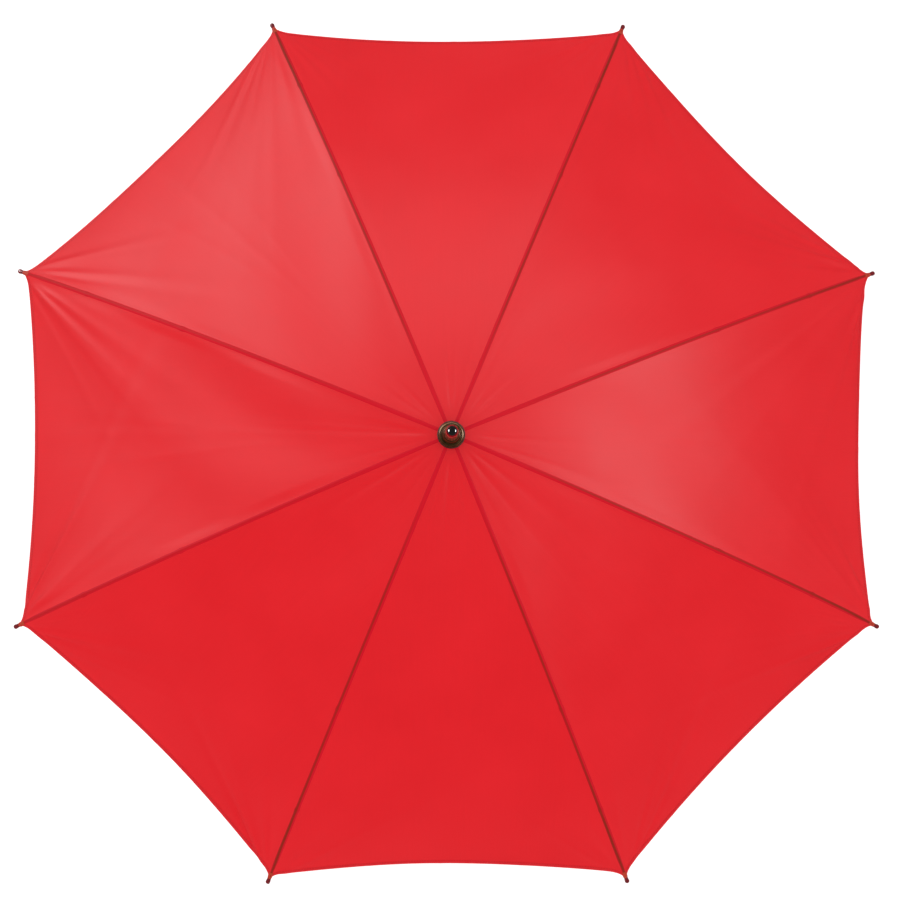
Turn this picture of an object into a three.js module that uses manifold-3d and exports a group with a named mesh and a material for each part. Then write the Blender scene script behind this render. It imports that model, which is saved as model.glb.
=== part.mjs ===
// Stick umbrella with a wooden shaft and a crook handle, open.
// Millimetres. Z runs up the shaft; the origin is on the shaft's axis, in the middle of the handle's grip.
// Every rib lies in a plane through the axis, and the hook of the handle points along +X.
import * as THREE from "three";
import { mergeVertices } from "three/addons/utils/BufferGeometryUtils.js";
import Module from "manifold-3d";

const wasm = await Module();
wasm.setup();

// Canopy and frame
const RIBS = 8;
const FIRST_RIB = Math.PI / RIBS; // azimuth of rib_1
const STEP = (2 * Math.PI) / RIBS;
const NOTCH_Z = 690; // height of the rib pivots
const PIVOT_R = 11.5; // distance of the pivots from the axis, at both notches
const RIB_BEND_R = 814; // radius that the open ribs are bowed to
const RIB_SLOPE = THREE.MathUtils.degToRad(3); // slope of a rib at its pivot
const RIB_START = 7; // distances along the rib, from its pivot
const RIB_END = 558;
const RIB_H = 3.2; // outside width and height of the rib's channel
const RIB_WALL = 0.5;
const JOINT_AT = 272.2; // where the stretcher meets the rib
const JOINT_DROP = 5.5; // rivet below the middle of the rib
const CLOSING = THREE.MathUtils.degToRad(66); // turn of a rib from open to closed
const TAB_T = 1.2; // thickness of the flattened ends
const EYE_R = 1.8;
const EYE_HOLE_R = 0.9;
const WIRE_R = 0.5;
const STRETCHER_W = 2.4;
const STRETCHER_H = 2.6;
const STRETCHER_WALL = 0.45;
const RIVET_R = 0.8;

// Fabric
const FABRIC_UP = 2.8; // underside of the fabric above the middle of the rib
const FABRIC_T = 0.8;
const FABRIC_START = -2.9; // distances along the rib
const FABRIC_END = 563;
const SEAM_GAP = 0.15; // half the gap between neighbouring gores
const BELLY = 0.42; // share of the inward belly of an evenly stretched gore
const SCALLOP = 9; // rise of the hem between two ribs

// Shaft, ferrule and handle
const SHAFT_R = 7;
const BORE_R = 7.4; // bores of what sits on the shaft
const SHAFT_BOTTOM = 60;
const SHAFT_TOP = NOTCH_Z + 19.4;
const HANDLE_R = 9.5;
const HANDLE_TOP = 88;
const SOCKET_DEPTH = 28.3;
const HOOK_Z = -85; // where the straight grip turns into the hook
const HOOK_R = 38; // radius of the hook's middle line
const HOOK_TAIL = 20;

// Runner and catches
const RUNNER_BOTTOM = 55; // sleeve's lower end below the runner's pivots
const SLEEVE_TOP = 6;
const SLEEVE_R = 9;
const WINDOW_LOW = 52;
const WINDOW_HIGH = 8;
const CATCH_T = 2.4;
const CATCH_REACH = 10; // how far the catches stand out from the axis
const PIN_R = 1;

const materials = {
  canopy: new THREE.MeshStandardMaterial({ color: 0xd8202a, roughness: 0.62, metalness: 0 }),
  wood: new THREE.MeshStandardMaterial({ color: 0x7a3520, roughness: 0.35, metalness: 0 }),
  bronze: new THREE.MeshStandardMaterial({ color: 0x6b4a33, roughness: 0.32, metalness: 0.9 }),
  ribs: new THREE.MeshStandardMaterial({ color: 0x1c1b1d, roughness: 0.45, metalness: 0.3 }),
  steel: new THREE.MeshStandardMaterial({ color: 0xb9bbbd, roughness: 0.28, metalness: 1 }),
  black: new THREE.MeshStandardMaterial({ color: 0x0c0c0d, roughness: 0.12, metalness: 0 }),
  dark: new THREE.MeshStandardMaterial({ color: 0x2a1714, roughness: 0.6, metalness: 0 }),
  tips: new THREE.MeshStandardMaterial({ color: 0x7c1218, roughness: 0.3, metalness: 0 }),
  runner: new THREE.MeshStandardMaterial({ color: 0x151516, roughness: 0.4, metalness: 0 }),
};

const group = new THREE.Group();

function add(name, geometry, material) {
  const mesh = new THREE.Mesh(tidy(geometry), materials[material]);
  mesh.name = name;
  group.add(mesh);
}

// Joins equal corners, drops empty triangles and turns the faces outwards.
function tidy(geometry) {
  const bare = new THREE.BufferGeometry();
  bare.setAttribute("position", geometry.getAttribute("position").clone());
  bare.setIndex(geometry.getIndex());
  const joined = mergeVertices(bare, 1e-4);
  const index = joined.getIndex().array;
  const at = joined.getAttribute("position");
  const corner = (i) => new THREE.Vector3().fromBufferAttribute(at, i);
  const kept = [];
  let volume = 0;
  for (let n = 0; n < index.length; n += 3) {
    const [a, b, c] = [index[n], index[n + 1], index[n + 2]];
    if (a === b || b === c || c === a) continue;
    kept.push(a, b, c);
    volume += corner(a).dot(corner(b).cross(corner(c)));
  }
  if (volume < 0) kept.reverse();
  joined.setIndex(kept);
  joined.computeVertexNormals();
  return joined;
}

function solid(geometry) {
  const joined = tidy(geometry);
  return new wasm.Manifold(
    new wasm.Mesh({
      numProp: 3,
      vertProperties: new Float32Array(joined.getAttribute("position").array),
      triVerts: new Uint32Array(joined.getIndex().array),
    }),
  );
}

function shape(manifold) {
  const mesh = manifold.getMesh();
  const geometry = new THREE.BufferGeometry();
  geometry.setAttribute("position", new THREE.BufferAttribute(new Float32Array(mesh.vertProperties), 3));
  geometry.setIndex(Array.from(mesh.triVerts));
  return geometry;
}

const cut = (body, ...tools) => shape(tools.reduce((left, tool) => left.subtract(solid(tool)), solid(body)));
const join = (body, ...others) => shape(others.reduce((left, other) => left.add(solid(other)), solid(body)));

// Solid of revolution about Z from [radius, height] pairs. A profile off the axis must close on itself.
function turned(profile, base = 0, segments = 20) {
  const points = profile.map(([r, z]) => new THREE.Vector2(r, z + base));
  if (profile[0][0] > 0) points.push(points[0].clone());
  return new THREE.LatheGeometry(points, segments).rotateX(Math.PI / 2);
}

// Carries a flat outline through a row of frames { at, x, y, scale }. The ends are capped unless it loops.
function sweep(shape2d, frames, loop = false) {
  const outline = THREE.ShapeUtils.isClockWise(shape2d) ? shape2d.toReversed() : shape2d;
  const n = outline.length;
  const positions = frames.flatMap(({ at, x, y, scale = 1 }) =>
    outline.flatMap((p) =>
      at.clone().addScaledVector(x, p.x * scale).addScaledVector(y, p.y * scale).toArray(),
    ),
  );
  const index = [];
  const rows = loop ? frames.length : frames.length - 1;
  for (let row = 0; row < rows; row += 1) {
    const next = (row + 1) % frames.length;
    for (let k = 0; k < n; k += 1) {
      const l = (k + 1) % n;
      index.push(row * n + k, row * n + l, next * n + l);
      index.push(row * n + k, next * n + l, next * n + k);
    }
  }
  if (!loop) {
    const last = (frames.length - 1) * n;
    for (const [a, b, c] of THREE.ShapeUtils.triangulateShape(outline, [])) {
      index.push(c, b, a, last + a, last + b, last + c);
    }
  }
  const geometry = new THREE.BufferGeometry();
  geometry.setAttribute("position", new THREE.Float32BufferAttribute(positions, 3));
  geometry.setIndex(index);
  return geometry;
}

function circle(radius, sides) {
  const corner = (_, k) => {
    const angle = (2 * Math.PI * (k + 0.5)) / sides;
    return new THREE.Vector2(radius * Math.cos(angle), radius * Math.sin(angle));
  };
  return Array.from({ length: sides }, corner);
}

// Outline of a channel that is open on the side `open` (-1 below, 1 above).
function channel(width, height, wall, open) {
  const [w, h] = [width / 2, height / 2];
  const points = [
    [-w, -h],
    [wall - w, -h],
    [wall - w, h - wall],
    [w - wall, h - wall],
    [w - wall, -h],
    [w, -h],
    [w, h],
    [-w, h],
  ];
  return points.map(([x, y]) => new THREE.Vector2(x, -open * y));
}

// Frame of the rib at azimuth 0 at a distance along it, with `x` across and `y` away from the inside.
function ribFrame(distance, up = 0) {
  const slope = RIB_SLOPE + distance / RIB_BEND_R;
  const y = new THREE.Vector3(Math.sin(slope), 0, Math.cos(slope));
  const at = new THREE.Vector3(
    PIVOT_R + RIB_BEND_R * (Math.sin(slope) - Math.sin(RIB_SLOPE)),
    0,
    NOTCH_Z - RIB_BEND_R * (Math.cos(RIB_SLOPE) - Math.cos(slope)),
  );
  return {
    at: at.addScaledVector(y, up),
    x: new THREE.Vector3(0, 1, 0),
    y,
    along: new THREE.Vector3(Math.cos(slope), 0, -Math.sin(slope)),
  };
}

// Moves a geometry from X along, Y across, Z up into a frame.
function place(geometry, { at, y, along }) {
  const across = new THREE.Vector3().crossVectors(y, along);
  return geometry.applyMatrix4(new THREE.Matrix4().makeBasis(along, across, y).setPosition(at));
}

// Plate in the XZ plane, centred on Y = 0, from [x, z] corners.
function plate(corners, thickness, hole) {
  const outline = new THREE.Shape(corners.map(([x, z]) => new THREE.Vector2(x, z)));
  if (hole) outline.holes.push(new THREE.Path(circle(hole, 8)));
  return new THREE.ExtrudeGeometry(outline, { depth: thickness, bevelEnabled: false })
    .translate(0, 0, -thickness / 2)
    .rotateX(Math.PI / 2);
}

// Flattened end of a bar: an eye round the origin and a tail along +X between two heights.
function eye(radius, hole, tail, low, high) {
  const corners = [];
  const [from, to] = [Math.asin(high / radius), 2 * Math.PI + Math.asin(low / radius)];
  const steps = 6;
  for (let k = 0; k <= steps; k += 1) {
    const angle = from + ((to - from) * k) / steps;
    corners.push([radius * Math.cos(angle), radius * Math.sin(angle)]);
  }
  corners.push([tail, low], [tail, high]);
  return plate(corners, TAB_T, hole);
}

const ring = (radius, height) => new THREE.TorusGeometry(radius, WIRE_R, 6, 24).translate(0, 0, height);

// Box from [low, high] pairs along X, Y and Z.
function block(x, y, z) {
  const mid = ([low, high]) => (low + high) / 2;
  return new THREE.BoxGeometry(x[1] - x[0], y[1] - y[0], z[1] - z[0]).translate(mid(x), mid(y), mid(z));
}

function around(geometry, angle) {
  return geometry.clone().rotateZ(angle);
}

// Linkage: a stretcher is as long as the rib's rivet is far from its pivot, so both notches are alike.
const rivetFrame = ribFrame(JOINT_AT, -JOINT_DROP);
const notchPivot = new THREE.Vector3(PIVOT_R, 0, NOTCH_Z);
const STRETCHER_L = rivetFrame.at.distanceTo(notchPivot);
const RUNNER_Z = 2 * rivetFrame.at.z - NOTCH_Z;
const openAngle = Math.acos((NOTCH_Z - rivetFrame.at.z) / STRETCHER_L);
const RUNNER_TRAVEL = 2 * STRETCHER_L * Math.cos(openAngle - CLOSING) - (NOTCH_Z - RUNNER_Z);
const SLEEVE_LOW = RUNNER_Z - RUNNER_BOTTOM;
const SLEEVE_LOW_CLOSED = SLEEVE_LOW - RUNNER_TRAVEL;

// Shaft with two pockets for the catches and a hole for the stop pin
const pocket = (low, high) => block([1, 8], [-CATCH_T / 2 - 0.3, CATCH_T / 2 + 0.3], [low, high]);
const BOTTOM_CATCH_Z = SLEEVE_LOW_CLOSED + RUNNER_BOTTOM - WINDOW_LOW + 0.1;
const PIN_Z = RUNNER_Z + 2.2 + 0.4 + PIN_R;
const pin = (radius, length) => new THREE.CylinderGeometry(radius, radius, length, 12).translate(0, 0, PIN_Z);
const shaft = new THREE.CylinderGeometry(SHAFT_R, SHAFT_R, SHAFT_TOP - SHAFT_BOTTOM, 24)
  .rotateX(Math.PI / 2)
  .translate(0, 0, (SHAFT_TOP + SHAFT_BOTTOM) / 2);
add(
  "shaft",
  cut(
    shaft,
    pocket(SLEEVE_LOW - 26, SLEEVE_LOW + 1),
    pocket(BOTTOM_CATCH_Z - 1, BOTTOM_CATCH_Z + 26),
    pin(PIN_R + 0.35, 3 * SHAFT_R),
  ),
  "wood",
);
add("runner_stop_pin", pin(PIN_R, 2 * SLEEVE_R + 0.6), "steel");

// Catches: a sprung tongue whose head stands out of the shaft; the lower one is turned over
const CATCH = [
  [2.6, -24.5],
  [4.6, -24.5],
  [6.2, -12],
  [CATCH_REACH, -2.9],
  [CATCH_REACH, -1.3],
  [5.2, -0.4],
  [4.6, -12],
];
add("top_catch", plate(CATCH, CATCH_T).translate(0, 0, SLEEVE_LOW), "steel");
add("bottom_catch", plate(CATCH, CATCH_T).rotateX(Math.PI).translate(0, 0, BOTTOM_CATCH_Z), "steel");

// Crook handle, its socket, collar and end cap
const handleFrames = [];
const down = (z, scale) =>
  handleFrames.push({
    at: new THREE.Vector3(0, 0, z),
    x: new THREE.Vector3(1, 0, 0),
    y: new THREE.Vector3(0, 1, 0),
    scale,
  });
down(HANDLE_TOP, 0.94);
down(HANDLE_TOP - 1.2, 1);
const HOOK_STEPS = 14;
for (let k = 0; k <= HOOK_STEPS; k += 1) {
  const turn = (Math.PI * k) / HOOK_STEPS;
  const inward = new THREE.Vector3(Math.cos(turn), 0, Math.sin(turn));
  handleFrames.push({
    at: new THREE.Vector3(HOOK_R, 0, HOOK_Z).addScaledVector(inward, -HOOK_R),
    x: inward,
    y: new THREE.Vector3(0, 1, 0),
  });
}
handleFrames.push({
  at: new THREE.Vector3(2 * HOOK_R, 0, HOOK_Z + HOOK_TAIL),
  x: new THREE.Vector3(-1, 0, 0),
  y: new THREE.Vector3(0, 1, 0),
});
const socket = new THREE.CylinderGeometry(BORE_R, BORE_R, SOCKET_DEPTH + 2, 24)
  .rotateX(Math.PI / 2)
  .translate(0, 0, HANDLE_TOP + 2 - (SOCKET_DEPTH + 2) / 2);
add("crook_handle", cut(sweep(circle(HANDLE_R, 18), handleFrames), socket), "wood");
const COLLAR = [
  [BORE_R, 0.3],
  [10, 0.3],
  [10.4, 1.2],
  [10.4, 3],
  [9.7, 4],
  [9.7, 9.4],
  [9, 10.6],
  [BORE_R, 10.6],
];
add("handle_collar", turned(COLLAR, HANDLE_TOP), "bronze");
const END_CAP = [
  [0, 0.3],
  [9, 0.3],
  [9.3, 1.2],
  [8.6, 2.7],
  [6.5, 3.6],
  [0, 3.6],
];
add("handle_end_cap", turned(END_CAP, HOOK_Z + HOOK_TAIL).translate(2 * HOOK_R, 0, 0), "bronze");

// Crown: notch, wire, washer, cap, ferrule and its tip; heights from the rib pivots
const notchSlots = (width, low, high) =>
  Array.from({ length: RIBS }, (_, k) =>
    around(block([9.2, 16], [-width / 2, width / 2], [low - 1, high + 1]), FIRST_RIB + k * STEP),
  );
const TOP_NOTCH = [
  [BORE_R, -3],
  [13.4, -3],
  [14, -2.4],
  [14, -0.85],
  [10.65, -0.85],
  [10.65, 0.85],
  [14, 0.85],
  [14, 1.4],
  [13.4, 2],
  [BORE_R, 2],
];
add(
  "top_notch",
  cut(turned(TOP_NOTCH, NOTCH_Z, 16), ...notchSlots(TAB_T + 0.6, NOTCH_Z - 3, NOTCH_Z + 2)),
  "runner",
);
add("notch_wire", ring(PIVOT_R, NOTCH_Z), "steel");
const WASHER = [
  [BORE_R, 4.1],
  [14.4, 4.1],
  [14.4, 4.9],
  [BORE_R, 4.9],
];
add("rosette_washer", turned(WASHER, NOTCH_Z), "dark");
const CROWN_CAP = [
  [BORE_R, 5.2],
  [13.2, 5.2],
  [13.5, 5.8],
  [13.5, 8],
  [12.8, 9.2],
  [11.4, 9.8],
  [10.9, 9.2],
  [10.3, 9.2],
  [9.9, 10],
  [9.5, 13.5],
  [8.9, 17.5],
  [8.5, 19.3],
  [BORE_R, 19.3],
];
add("crown_cap", turned(CROWN_CAP, NOTCH_Z), "bronze");
const FERRULE = [
  [0, 19.7],
  [7.3, 19.7],
  [7.5, 21.5],
  [7.4, 25],
  [7, 37],
  [6.6, 48],
  [6.3, 53.5],
  [0, 53.5],
];
add("ferrule", turned(FERRULE, NOTCH_Z), "wood");
const FERRULE_TIP = [
  [0, 53.8],
  [6, 53.8],
  [6.3, 55],
  [6.45, 57.5],
  [6.1, 60.5],
  [5.1, 63.2],
  [3.6, 65.2],
  [2.6, 66],
  [0, 66],
];
add("ferrule_tip", turned(FERRULE_TIP, NOTCH_Z), "black");

// Runner: sleeve with a window for the catches, notch and wire; heights from the runner's pivots
const SLEEVE = [
  [BORE_R, -RUNNER_BOTTOM],
  [SLEEVE_R, -RUNNER_BOTTOM],
  [SLEEVE_R, -SLEEVE_TOP],
  [BORE_R, -SLEEVE_TOP],
];
const catchWindow = block([5, 12], [-1.7, 1.7], [RUNNER_Z - WINDOW_LOW, RUNNER_Z - WINDOW_HIGH]);
add("runner_sleeve", cut(turned(SLEEVE, RUNNER_Z), catchWindow), "runner");
const RUNNER_NOTCH = [
  [BORE_R, -5.7],
  [12.6, -5.7],
  [14, -4.6],
  [14, -0.85],
  [10.65, -0.85],
  [10.65, 0.85],
  [14, 0.85],
  [14, 1.6],
  [13.4, 2.2],
  [BORE_R, 2.2],
];
add(
  "runner_notch",
  cut(turned(RUNNER_NOTCH, RUNNER_Z, 16), ...notchSlots(STRETCHER_W + 0.6, RUNNER_Z - 5.7, RUNNER_Z + 2.2)),
  "runner",
);
add("runner_wire", ring(PIVOT_R, RUNNER_Z), "steel");

// One rib, its tip, its joint clip and its stretcher at azimuth 0
const RIB_STEPS = 13;
const ribSpan = RIB_END - RIB_START;
const ribFrames = Array.from({ length: RIB_STEPS + 1 }, (_, k) =>
  ribFrame(RIB_START + (ribSpan * k) / RIB_STEPS),
);
const rib = join(
  sweep(channel(RIB_H, RIB_H, RIB_WALL, -1), ribFrames),
  place(eye(EYE_R, EYE_HOLE_R, RIB_START + 6, -1.3, RIB_H / 2 - RIB_WALL / 2), ribFrame(0)),
);

const TIP = [
  [0, 0],
  [2, 0],
  [2.1, 5.5],
  [2.3, 9],
  [2.6, 10.6],
  [2.4, 12.4],
  [1.4, 13.4],
  [0, 13.4],
];
const tip = place(turned(TIP, 0, 8).rotateY(Math.PI / 2), ribFrame(RIB_END + 0.3));

const CHEEK = [
  [-4.5, 1.2],
  [-4.5, -2.6],
  [-2, -6.6],
  [-1.2, -7.3],
  [1.2, -7.3],
  [2, -6.6],
  [4.5, -2.6],
  [4.5, 1.2],
];
const CHEEK_T = 0.55;
const cheekAt = RIB_H / 2 + 0.3 + CHEEK_T / 2;
const cheek = (side) => plate(CHEEK, CHEEK_T).translate(0, side * cheekAt, 0);
const bridge = block([-4.5, 4.5], [-cheekAt, cheekAt], [-2.6, -1.95]);
const rivet = new THREE.CylinderGeometry(RIVET_R, RIVET_R, 2 * cheekAt + 1.4, 8).translate(0, 0, -JOINT_DROP);
const clip = place(join(bridge, cheek(-1), cheek(1), rivet), ribFrame(JOINT_AT));

const toRivet = rivetFrame.at.clone().sub(new THREE.Vector3(PIVOT_R, 0, RUNNER_Z)).normalize();
const stretcherFrame = (distance) => ({
  at: new THREE.Vector3(PIVOT_R, 0, RUNNER_Z).addScaledVector(toRivet, distance),
  x: new THREE.Vector3(0, 1, 0),
  y: new THREE.Vector3(-toRivet.z, 0, toRivet.x),
  along: toRivet,
});
const stretcher = join(
  sweep(channel(STRETCHER_W, STRETCHER_H, STRETCHER_WALL, 1), [5, STRETCHER_L - 5].map(stretcherFrame)),
  place(eye(EYE_R, EYE_HOLE_R, 10, -1.1, 0.8), stretcherFrame(0)),
  place(eye(2, RIVET_R + 0.35, 10, -1.1, 0.8).rotateY(Math.PI).scale(1, 1, -1), stretcherFrame(STRETCHER_L)),
);

// One gore between the ribs at -STEP / 2 and STEP / 2: ruled from rib to rib, with an inward belly and a
// hem that curves in
const GORE_ACROSS = 4;
const GORE_ALONG = 13;

function gorePoint(u, v, up) {
  const bow = 4 * u * (1 - u);
  const distance = FABRIC_START + v * (FABRIC_END - SCALLOP * bow - FABRIC_START);
  const { at, y } = ribFrame(distance, up);
  const half = Math.tan(STEP / 2) * at.x * Math.cos(STEP / 2);
  const inward = new THREE.Vector3(y.x, 0, y.z * Math.cos(STEP / 2)).normalize();
  const depth = (BELLY * bow * (2 * half) ** 2) / (8 * RIB_BEND_R);
  return new THREE.Vector3(at.x * Math.cos(STEP / 2), (2 * u - 1) * (half - SEAM_GAP), at.z).addScaledVector(
    inward,
    -depth,
  );
}

function goreGeometry() {
  const positions = [];
  const index = [];
  const layer = (GORE_ACROSS + 1) * (GORE_ALONG + 1);
  const number = (i, j, k) => k * layer + j * (GORE_ACROSS + 1) + i;
  for (const up of [FABRIC_UP, FABRIC_UP + FABRIC_T]) {
    for (let j = 0; j <= GORE_ALONG; j += 1) {
      for (let i = 0; i <= GORE_ACROSS; i += 1) {
        positions.push(...gorePoint(i / GORE_ACROSS, j / GORE_ALONG, up).toArray());
      }
    }
  }
  const quad = (a, b, c, d) => index.push(a, b, c, a, c, d);
  for (let j = 0; j < GORE_ALONG; j += 1) {
    for (let i = 0; i < GORE_ACROSS; i += 1) {
      quad(number(i, j, 0), number(i, j + 1, 0), number(i + 1, j + 1, 0), number(i + 1, j, 0));
      quad(number(i, j, 1), number(i + 1, j, 1), number(i + 1, j + 1, 1), number(i, j + 1, 1));
    }
    quad(number(0, j, 0), number(0, j, 1), number(0, j + 1, 1), number(0, j + 1, 0));
    const i = GORE_ACROSS;
    quad(number(i, j, 0), number(i, j + 1, 0), number(i, j + 1, 1), number(i, j, 1));
  }
  for (let i = 0; i < GORE_ACROSS; i += 1) {
    quad(number(i, 0, 0), number(i + 1, 0, 0), number(i + 1, 0, 1), number(i, 0, 1));
    const j = GORE_ALONG;
    quad(number(i, j, 0), number(i, j, 1), number(i + 1, j, 1), number(i + 1, j, 0));
  }
  const geometry = new THREE.BufferGeometry();
  geometry.setAttribute("position", new THREE.Float32BufferAttribute(positions, 3));
  geometry.setIndex(index);
  return geometry;
}

const gore = goreGeometry();
for (let k = 0; k < RIBS; k += 1) {
  const angle = FIRST_RIB + k * STEP;
  add(`rib_${k + 1}`, around(rib, angle), "ribs");
  add(`rib_tip_${k + 1}`, around(tip, angle), "tips");
  add(`rib_joint_${k + 1}`, around(clip, angle), "ribs");
  add(`stretcher_${k + 1}`, around(stretcher, angle), "ribs");
  add(`canopy_gore_${k + 1}`, around(gore, angle + STEP / 2), "canopy");
}

export default group;
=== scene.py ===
"""Stick umbrella, open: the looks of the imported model, in metres, in the frame of the CAD."""

import math

import bpy
import numpy as np
from mathutils import Matrix, Vector


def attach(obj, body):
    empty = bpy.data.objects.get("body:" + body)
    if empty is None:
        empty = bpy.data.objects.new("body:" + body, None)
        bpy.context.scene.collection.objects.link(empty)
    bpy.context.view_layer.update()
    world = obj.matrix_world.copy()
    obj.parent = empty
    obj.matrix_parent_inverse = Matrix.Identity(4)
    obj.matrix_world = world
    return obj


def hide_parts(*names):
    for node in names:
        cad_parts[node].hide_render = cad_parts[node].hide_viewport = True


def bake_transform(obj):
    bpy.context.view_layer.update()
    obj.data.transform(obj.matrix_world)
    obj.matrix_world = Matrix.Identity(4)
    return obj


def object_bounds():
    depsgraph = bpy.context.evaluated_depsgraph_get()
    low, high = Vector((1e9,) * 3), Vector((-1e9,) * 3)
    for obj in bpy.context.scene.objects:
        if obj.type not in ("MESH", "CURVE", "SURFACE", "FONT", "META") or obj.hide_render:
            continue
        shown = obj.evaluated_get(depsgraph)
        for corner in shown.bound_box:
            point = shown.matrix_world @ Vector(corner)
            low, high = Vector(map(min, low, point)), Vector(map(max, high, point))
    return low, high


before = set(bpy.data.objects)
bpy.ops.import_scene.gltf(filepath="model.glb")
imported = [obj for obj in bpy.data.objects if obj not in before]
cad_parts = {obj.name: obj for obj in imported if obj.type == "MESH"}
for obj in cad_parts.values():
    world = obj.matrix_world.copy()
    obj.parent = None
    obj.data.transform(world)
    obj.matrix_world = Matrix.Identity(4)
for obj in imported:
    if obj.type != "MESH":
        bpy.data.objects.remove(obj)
cad_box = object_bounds()

MM = 0.001
scene = bpy.context.scene

# Sizes of the CAD model, in millimetres; heights of the crown are from the rib pivots
RIBS = 8
STEP = 2 * math.pi / RIBS
FIRST_RIB = STEP / 2
NOTCH_Z = 690.0
PIVOT_R = 11.5
BEND = 814.0
SLOPE = math.radians(3)
RIB_START = 7.0
RIB_END = 558.0
RIB_H = 3.2
RIB_WALL = 0.5
FABRIC_END = 563.0
BELLY = 0.42
SHAFT_R = 7.0
BORE_R = 7.4
SHAFT_BOTTOM = 60.0
SHAFT_TOP = NOTCH_Z + 19.4
HANDLE_R = 9.5
HANDLE_TOP = 88.0
SOCKET_DEPTH = 28.3
HOOK_Z = -85.0
HOOK_R = 38.0
HOOK_TAIL = 20.0
RUNNER_Z = 561.794
SLEEVE_R = 9.0
CATCH_T = 2.4
SLEEVE_LOW = RUNNER_Z - 55
BOTTOM_CATCH_Z = 106.608
PIN_Z = RUNNER_Z + 3.6
TAB_T = 1.2
STRETCHER_W = 2.4

# Sizes of the cloth
CLOTH_T = 0.26
CLOTH_START = 1.0
CROWN_UP = 3.2  # middle of the cloth above the middle of the rib, at the crown
CLOTH_UP = 2.55
TIP_UP = 2.2
CLOTH_END = 561.5  # distances along the rib
SCALLOP = 5.5  # rise of the hem between two ribs
FLARE = 9.0  # how far the hem runs out along a rib to its tip
FLARE_WIDTH = 4.5
HEM_W = 6.0
STITCH = 3.0
TIES = (309.0, 449.0)  # where the seams are tied to the ribs


# ---------------------------------------------------------------- camera, light and floor
def aim(obj, place, target, up):
    """Puts obj at place, looking at target, with the picture's top towards up."""
    back = (Vector(place) - Vector(target)).normalized()
    right = Vector(up).cross(back).normalized()
    top = back.cross(right)
    turn = Matrix((right, top, back)).transposed().to_4x4()
    obj.matrix_world = Matrix.Translation(place) @ turn


camera_data = bpy.data.cameras.new("camera")
camera_data.lens = 91.1
camera_data.sensor_width = 36
camera_data.clip_end = 60
camera = bpy.data.objects.new("camera", camera_data)
scene.collection.objects.link(camera)
aim(camera, (-0.0411, -0.1662, 3.0445), (0.0012, -0.0066, 0.55), (0, 1, 0))
scene.camera = camera
scene.view_settings.view_transform = "Standard"


def area_light(name, place, target, size, power, gloss_only=True):
    """A softbox; one for gloss only is seen in what shines and adds no other light."""
    data = bpy.data.lights.new(name, "AREA")
    data.shape = "RECTANGLE"
    data.size, data.size_y = size
    data.energy = power
    obj = bpy.data.objects.new(name, data)
    obj.visible_diffuse = not gloss_only
    scene.collection.objects.link(obj)
    aim(obj, place, target, (0, 0.01, 1))
    return obj


def light_only(light, objects, only=True):
    """Lets a light reach these objects alone, or everything but them."""
    group = bpy.data.collections.new(light.name + "_reach")
    for obj in objects:
        group.objects.link(obj)
    light.light_linking.receiver_collection = group
    if not only:
        for entry in group.collection_objects:
            entry.light_linking.link_state = "EXCLUDE"


area_light("soft_key", (-2.0, 2.0, 3.2), (0, 0, 0.6), (2.0, 2.0), 6, False)
key_light = area_light("key_light", (-2.3, 1.7, 2.9), (0, 0, 0.6), (2.2, 2.2), 97)
low_light = area_light("low_light", (-2.8, 1.7, 1.15), (0, 0, 0.6), (2.4, 1.4), 98)
top_light = area_light("top_light", (0.3, 2.6, 3.3), (0, 0, 0.6), (3.0, 2.2), 80)
fill_light = area_light("fill_light", (2.5, 0.4, 3.2), (0, 0, 0.6), (1.6, 1.6), 125)
left_softbox = area_light("left_softbox", (-1.8, 0.1, 0.85), (0, 0, 0.74), (1.1, 0.8), 60)
right_softbox = area_light("right_softbox", (1.8, -0.05, 0.82), (0, 0, 0.74), (1.0, 0.7), 46)

# The room is pale; what shines sees a dimmer one, as if black cards stood round the table
world = bpy.data.worlds.new("world")
world.use_nodes = True
room = world.node_tree.nodes["Background"]
room.inputs["Color"].default_value = (1, 1, 1, 1)
room.inputs["Strength"].default_value = 1.03
cards = world.node_tree.nodes.new("ShaderNodeBackground")
cards.inputs["Color"].default_value = (1, 1, 1, 1)
cards.inputs["Strength"].default_value = 0.12
path = world.node_tree.nodes.new("ShaderNodeLightPath")
both = world.node_tree.nodes.new("ShaderNodeMixShader")
world.node_tree.links.new(path.outputs["Is Glossy Ray"], both.inputs[0])
world.node_tree.links.new(room.outputs["Background"], both.inputs[1])
world.node_tree.links.new(cards.outputs["Background"], both.inputs[2])
world.node_tree.links.new(both.outputs["Shader"], world.node_tree.nodes["World Output"].inputs["Surface"])
scene.world = world


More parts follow.
